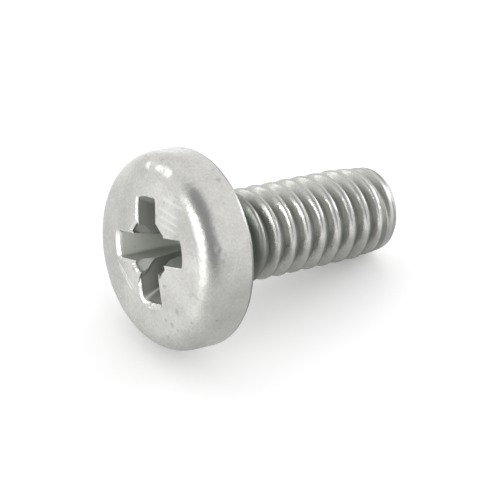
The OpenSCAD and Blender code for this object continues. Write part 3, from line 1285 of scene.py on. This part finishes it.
class Nodes:
    """A short way to add and link a material's nodes."""

    def __init__(self, tree: bpy.types.NodeTree) -> None:
        """Keeps the tree and empties it."""
        self.tree = tree
        tree.nodes.clear()

    def add(self, kind: str, **values: Any) -> bpy.types.Node:
        """Adds a node.

        Args:
            kind: Its type.
            values: Its properties.

        Returns:
            The node.
        """
        node = self.tree.nodes.new(kind)
        for key, value in values.items():
            setattr(node, key, value)
        return node

    def link(self, source: bpy.types.NodeSocket, target: bpy.types.NodeSocket) -> None:
        """Links an output to an input."""
        self.tree.links.new(source, target)

    def put(self, socket: bpy.types.NodeSocket, value: Any) -> None:
        """Fills an input.

        Args:
            socket: The input.
            value: A number, a colour, or the output to link to it.
        """
        if isinstance(value, bpy.types.NodeSocket):
            self.link(value, socket)
        else:
            socket.default_value = (*value, 1.0) if isinstance(value, tuple) else value

    def output(self, kind: str, shader: bpy.types.Node) -> None:
        """Adds the output node of a type and links a shader to it."""
        self.link(shader.outputs[0], self.add(kind).inputs["Surface"])

    def own(self) -> bpy.types.NodeSocket:
        """Returns the place in the screw's own frame, in millimetres."""
        return self.add("ShaderNodeAttribute", attribute_name="own_mm").outputs["Vector"]

    def share(self, name: str) -> bpy.types.NodeSocket:
        """Returns one of the mesh's finish attributes."""
        return self.add("ShaderNodeAttribute", attribute_name=name).outputs["Fac"]

    def noise(
        self, scale: float, detail: float = 2.0, stretch: Any = (1, 1, 1), turn: Any = (0, 0, 0)
    ) -> bpy.types.NodeSocket:
        """Adds noise in the screw's own frame.

        Args:
            scale: Bumps per millimetre.
            detail: Octaves of finer noise.
            stretch: Scale along each axis, for streaks.
            turn: Turn of the axes, in radians.

        Returns:
            The noise's value, about 0.5.
        """
        mapping = self.add("ShaderNodeMapping")
        mapping.inputs["Scale"].default_value = stretch
        mapping.inputs["Rotation"].default_value = turn
        self.link(self.own(), mapping.inputs["Vector"])
        noise = self.add("ShaderNodeTexNoise")
        noise.inputs["Scale"].default_value = scale
        noise.inputs["Detail"].default_value = detail
        self.link(mapping.outputs["Vector"], noise.inputs["Vector"])
        return noise.outputs["Fac"]

    def spread(
        self, value: bpy.types.NodeSocket, low: float, high: float, bottom: float, top: float
    ) -> bpy.types.NodeSocket:
        """Maps a range of values to another, and holds its ends.

        Args:
            value: The values.
            low: Start of their range.
            high: End of their range.
            bottom: Result at the start.
            top: Result at the end.

        Returns:
            The result.
        """
        node = self.add("ShaderNodeMapRange")
        limits = {"From Min": low, "From Max": high, "To Min": bottom, "To Max": top}
        for name, limit in limits.items():
            node.inputs[name].default_value = limit
        self.link(value, node.inputs["Value"])
        return node.outputs["Result"]

    def math(self, operation: str, first: Any, second: Any) -> bpy.types.NodeSocket:
        """Adds a sum, product or the like of two values.

        Args:
            operation: What is done.
            first: Number or output.
            second: Number or output.

        Returns:
            The result.
        """
        node = self.add("ShaderNodeMath", operation=operation)
        self.put(node.inputs[0], first)
        self.put(node.inputs[1], second)
        return node.outputs[0]

    def mix(self, share: bpy.types.NodeSocket, first: Any, second: Any) -> bpy.types.NodeSocket:
        """Mixes two colours.

        Args:
            share: Share of the second colour.
            first: Colour or output.
            second: Colour or output.

        Returns:
            The mixed colour.
        """
        node = self.add("ShaderNodeMix", data_type="RGBA")
        for number, value in ((0, share), (6, first), (7, second)):
            self.put(node.inputs[number], value)
        return node.outputs[2]

    def bump(
        self, height: bpy.types.NodeSocket, distance: float, before: bpy.types.NodeSocket | None
    ) -> bpy.types.NodeSocket:
        """Adds a bump at half strength.

        Args:
            height: Its height, 0 to 1.
            distance: What a height of 1 stands for, in metres.
            before: The normal of an earlier bump, if there is one.

        Returns:
            The normal.
        """
        node = self.add("ShaderNodeBump")
        node.inputs["Distance"].default_value = distance
        node.inputs["Strength"].default_value = 0.5
        self.link(height, node.inputs["Height"])
        if before is not None:
            self.link(before, node.inputs["Normal"])
        return node.outputs["Normal"]


@dataclass(frozen=True)
class ZincPlate:
    """Bright zinc plate on steel, dulled by handling, with painted shade and painted highlights
    mixed into its colour.

    Attributes:
        bright: Colour of clean plate.
        dull: Colour of the duller cloud in it.
        tarnished_and_shaded: Colour of tarnished plate, and of the painted shade.
        brightened: Colour of plate that is rubbed bright, and of the painted highlights.
        film: Colour of the chalky grey film in the recess and on the thread's upper side, where it
            also stands in for light.
        stained: Colour of the film where it is dark, partly from painted shade.
        film_metal: Share of bare metal that shows through the full film.
        roughness: Roughness of polished and of dull plate.
        rougher: What full shine, soil and tarnish add to the roughness.
        streak_turn: Turn of the fine brushed streaks about the axis, in degrees.
        swell: Height of the soft unevenness, in millimetres.
        grain: Height of the fine grain.
        brushed: Height of the streaks on the head.
        rolled: Height of the fine lines round the shank.
    """

    bright: tuple[float, float, float] = (0.65, 0.645, 0.62)
    dull: tuple[float, float, float] = (0.50, 0.495, 0.475)
    tarnished_and_shaded: tuple[float, float, float] = (0.18, 0.19, 0.17)
    brightened: tuple[float, float, float] = (0.80, 0.80, 0.78)
    film: tuple[float, float, float] = (0.52, 0.53, 0.49)
    stained: tuple[float, float, float] = (0.21, 0.22, 0.20)
    film_metal: float = 0.35
    roughness: tuple[float, float] = (0.15, 0.28)
    rougher: tuple[float, float, float] = (-0.10, 0.12, 0.24)
    streak_turn: float = -6.0
    swell: float = 0.02
    grain: float = 0.005
    brushed: float = 0.006
    rolled: float = 0.008

    def material(self, name: str) -> bpy.types.Material:
        """Makes the procedural material.

        Args:
            name: Name of the material.

        Returns:
            The material.
        """
        material = bpy.data.materials.new(name)
        material.use_nodes = True
        nodes = Nodes(material.node_tree)
        shader = nodes.add("ShaderNodeBsdfPrincipled")
        cloud = nodes.spread(nodes.noise(1.1, 3.0), 0.35, 0.68, 0.0, 1.0)
        mottle = nodes.spread(nodes.noise(9.0, 4.0), 0.35, 0.65, 0.0, 1.0)
        patchy = nodes.math("MULTIPLY", nodes.math("ADD", cloud, mottle), 0.5)
        colour = nodes.mix(patchy, self.bright, self.dull)
        # Painted shade darkens and painted highlights brighten the plate here, along with real
        # tarnish, rubbing and film.
        colour = nodes.mix(nodes.share("tarnish"), colour, self.tarnished_and_shaded)
        colour = nodes.mix(nodes.share("shine"), colour, self.brightened)
        film = nodes.mix(nodes.share("tarnish"), self.film, self.stained)
        colour = nodes.mix(nodes.share("soil"), colour, film)
        nodes.link(colour, shader.inputs["Base Color"])
        metal = nodes.spread(nodes.share("soil"), 0.0, 1.0, 1.0, self.film_metal)
        nodes.link(metal, shader.inputs["Metallic"])
        rough = nodes.spread(patchy, 0.0, 1.0, *self.roughness)
        for key, change in zip(("shine", "soil", "tarnish"), self.rougher):
            rough = nodes.math("ADD", rough, nodes.math("MULTIPLY", nodes.share(key), change))
        nodes.link(rough, shader.inputs["Roughness"])
        nodes.link(self.relief(nodes), shader.inputs["Normal"])
        nodes.output("ShaderNodeOutputMaterial", shader)
        return material

    def relief(self, nodes: Nodes) -> bpy.types.NodeSocket:
        """Adds the plate's fine bumps, brushed on the head and rolled off it.

        Args:
            nodes: The material's nodes.

        Returns:
            The normal.
        """
        place = nodes.add("ShaderNodeSeparateXYZ")
        nodes.link(nodes.own(), place.inputs[0])
        on_head = nodes.spread(place.outputs["Z"], -0.1, 0.0, 0.0, 1.0)
        off_head = nodes.math("SUBTRACT", 1.0, on_head)
        turn = (0.0, 0.0, math.radians(self.streak_turn))
        streaks = nodes.noise(6.0, 2.0, (4.0, 0.25, 4.0), turn)
        lines = nodes.noise(1.0, 2.0, (0.9, 0.9, 22.0))
        normal = None
        for height, distance in (
            (nodes.noise(3.0), self.swell),
            (nodes.noise(16.0), self.grain),
            (nodes.math("MULTIPLY", streaks, on_head), self.brushed),
            (nodes.math("MULTIPLY", lines, off_head), self.rolled),
        ):
            normal = nodes.bump(height, distance * MM, normal)
        return normal


@dataclass
class MachineScrew:
    """The whole screw, one closed piece.

    Attributes:
        lie: How it lies.
        finish: Its plate.
    """

    lie: Lie
    finish: ZincPlate = field(default_factory=ZincPlate)

    def build(self) -> bpy.types.Object:
        """Grows the skin from the recess to the tip and dresses it.

        Returns:
            The screw's object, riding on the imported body.
        """
        side = self.lie.mounts["head_side"]["dims"]
        recess_place = self.lie.local("cross_recess")
        taper_place = self.lie.local("thread")
        side_middle = self.lie.local("head_side")
        recess = CrossRecess(shift=float(recess_place[0]))
        thread = RolledThread(taper_start=-float(taper_place[2]))
        form = HeadForm(
            radius=side["r_mm"],
            height=float(recess_place[2]),
            rim_radius=float(side_middle[2]) - side["length_mm"] / 2,
            side_height=side["length_mm"],
            neck_reach=thread.neck_radius + thread.fillet,
        )
        head = PanHead(form)
        skin = Skin()
        edge = recess.build(skin, form)
        rim = head.build(skin, edge, recess.turn)
        inner = head.bearing_face(skin, rim, recess.turn)
        thread.build(skin, inner, recess.turn)
        screw = add_object("screw_skin", skin.mesh("screw_skin", self.lie))
        screw.data.materials.append(self.finish.material("zinc_plate"))
        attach(screw, "root")
        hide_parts("machine_screw")
        return screw


@dataclass(frozen=True)
class Sweep:
    """A direction as seen from the screw.

    Attributes:
        azimuth: Degrees from +X towards +Y.
        elevation: Degrees above the floor.
    """

    azimuth: float
    elevation: float

    def vector(self) -> Vector:
        """Returns the direction as a unit vector."""
        turn, rise = math.radians(self.azimuth), math.radians(self.elevation)
        return Vector((
            math.cos(rise) * math.cos(turn),
            math.cos(rise) * math.sin(turn),
            math.sin(rise),
        ))

    def facing(self) -> Any:
        """Returns the turn of a light or camera there that faces the screw."""
        return self.vector().to_track_quat("Z", "Y").to_euler()


@dataclass(frozen=True)
class Softbox:
    """A soft rectangular studio light.

    Attributes:
        name: Its name.
        way: Direction from the screw to the light.
        width: Its level side, in metres.
        height: Its other side, in metres.
        power: Its power, in watts.
        distance: Distance from the screw, in metres.
    """

    name: str
    way: Sweep
    width: float
    height: float
    power: float
    distance: float = 0.20

    def build(self) -> None:
        """Adds the light, turned to face the screw."""
        light = bpy.data.lights.new(self.name, "AREA")
        light.shape = "RECTANGLE"
        light.size = self.width
        light.size_y = self.height
        light.energy = self.power
        lamp = add_object(self.name, light)
        lamp.location = self.way.vector() * self.distance
        lamp.rotation_euler = self.way.facing()


@dataclass
class Studio:
    """A plain pale floor, soft light all round and a darker side by the camera.

    Attributes:
        softboxes: The bright lights that the head and the crests mirror.
        tent: Strength of the soft light from all round.
        dark_sides: Middles of the room's dark sides.
        dark_edge: Cosines of the angles from a middle at which the dark starts and is full.
        dark: Colour of the dark.
        floor_half: Half the floor's side, in metres.
        floor_colour: Colour of the floor.
        floor_roughness: Roughness of the floor.
        floor_glow: Light that comes through the floor from below.
    """

    softboxes: tuple[Softbox, ...] = (
        Softbox("window_left", Sweep(173.5, 17.5), 0.100, 0.110, 0.088),
        Softbox("window_back", Sweep(117.0, 26.0), 0.050, 0.065, 0.018),
        Softbox("window_right", Sweep(-5.0, 14.0), 0.110, 0.080, 0.130),
    )
    tent: float = 1.06
    dark_sides: tuple[Sweep, ...] = (Sweep(-138.0, 33.0), Sweep(-168.0, 64.0))
    dark_edge: tuple[float, float] = (0.82, 0.96)
    dark: tuple[float, float, float] = (0.40, 0.40, 0.41)
    floor_half: float = 1.5
    floor_colour: tuple[float, float, float] = (0.90, 0.90, 0.895)
    floor_roughness: float = 0.35
    floor_glow: float = 0.22

    def build(self) -> None:
        """Adds the lights, the room's light and the floor."""
        for softbox in self.softboxes:
            softbox.build()
        self.room()
        self.floor()
        view = bpy.context.scene.view_settings
        view.view_transform = "Standard"
        view.look = "None"

    def room(self) -> None:
        """Lights the scene from all round, less from the dark side."""
        world = bpy.data.worlds.new("light_tent")
        bpy.context.scene.world = world
        world.use_nodes = True
        nodes = Nodes(world.node_tree)
        way = nodes.add("ShaderNodeTexCoord").outputs["Generated"]
        shades = []
        for side in self.dark_sides:
            facing = nodes.add("ShaderNodeVectorMath", operation="DOT_PRODUCT")
            nodes.link(way, facing.inputs[0])
            facing.inputs[1].default_value = side.vector()
            shades.append(nodes.spread(facing.outputs["Value"], *self.dark_edge, 0.0, 1.0))
        colour = nodes.mix(nodes.math("MAXIMUM", *shades), (1.0, 1.0, 1.0), self.dark)
        background = nodes.add("ShaderNodeBackground")
        background.inputs["Strength"].default_value = self.tent
        nodes.link(colour, background.inputs["Color"])
        nodes.output("ShaderNodeOutputWorld", background)

    def floor(self) -> None:
        """Lays the pale floor."""
        half = self.floor_half
        corners = [(-half, -half, 0), (half, -half, 0), (half, half, 0), (-half, half, 0)]
        mesh = bpy.data.meshes.new("floor")
        mesh.from_pydata(corners, [], [(0, 1, 2, 3)])
        plane = add_object("floor", mesh)
        material = bpy.data.materials.new("pale_floor")
        material.use_nodes = True
        nodes = Nodes(material.node_tree)
        shader = nodes.add("ShaderNodeBsdfPrincipled")
        shader.inputs["Base Color"].default_value = (*self.floor_colour, 1.0)
        shader.inputs["Roughness"].default_value = self.floor_roughness
        shader.inputs["Emission Color"].default_value = (1.0, 1.0, 1.0, 1.0)
        shader.inputs["Emission Strength"].default_value = self.floor_glow
        nodes.output("ShaderNodeOutputMaterial", shader)
        mesh.materials.append(material)


@dataclass(frozen=True)
class Viewpoint:
    """The photograph's camera.

    Attributes:
        way: Direction from the screw to the camera.
        target: Point on the camera's axis, in millimetres in the row frame.
        distance: Distance from that point to the camera, in millimetres.
        focal_px: Focal length in pixels of the photograph's frame.
        frame_px: Width of that frame in pixels.
    """

    way: Sweep = Sweep(-125.881, 38.716)
    target: tuple[float, float, float] = (-0.552, 0.019, 2.378)
    distance: float = 94.95
    focal_px: float = 2288.4
    frame_px: float = 500.0

    def build(self) -> None:
        """Adds the camera and makes it the scene's."""
        lens = bpy.data.cameras.new("camera")
        lens.sensor_width = 36.0
        lens.lens = self.focal_px / self.frame_px * lens.sensor_width
        lens.clip_start = 0.002
        lens.clip_end = 10.0
        camera = add_object("camera", lens)
        camera.location = (Vector(self.target) + self.way.vector() * self.distance) * MM
        camera.rotation_euler = self.way.facing()
        bpy.context.scene.camera = camera


def main() -> None:
    """Builds the camera, the studio and the screw."""
    logging.basicConfig(level=logging.INFO, format="%(name)s: %(message)s")
    Viewpoint().build()
    Studio().build()
    screw = MachineScrew(Lie.from_record(frame["record"])).build()
    sizes = len(screw.data.vertices), len(screw.data.polygons)
    LOG.info("%s: %d points, %d faces", screw.name, *sizes)


if __name__ == "__main__":
    main()
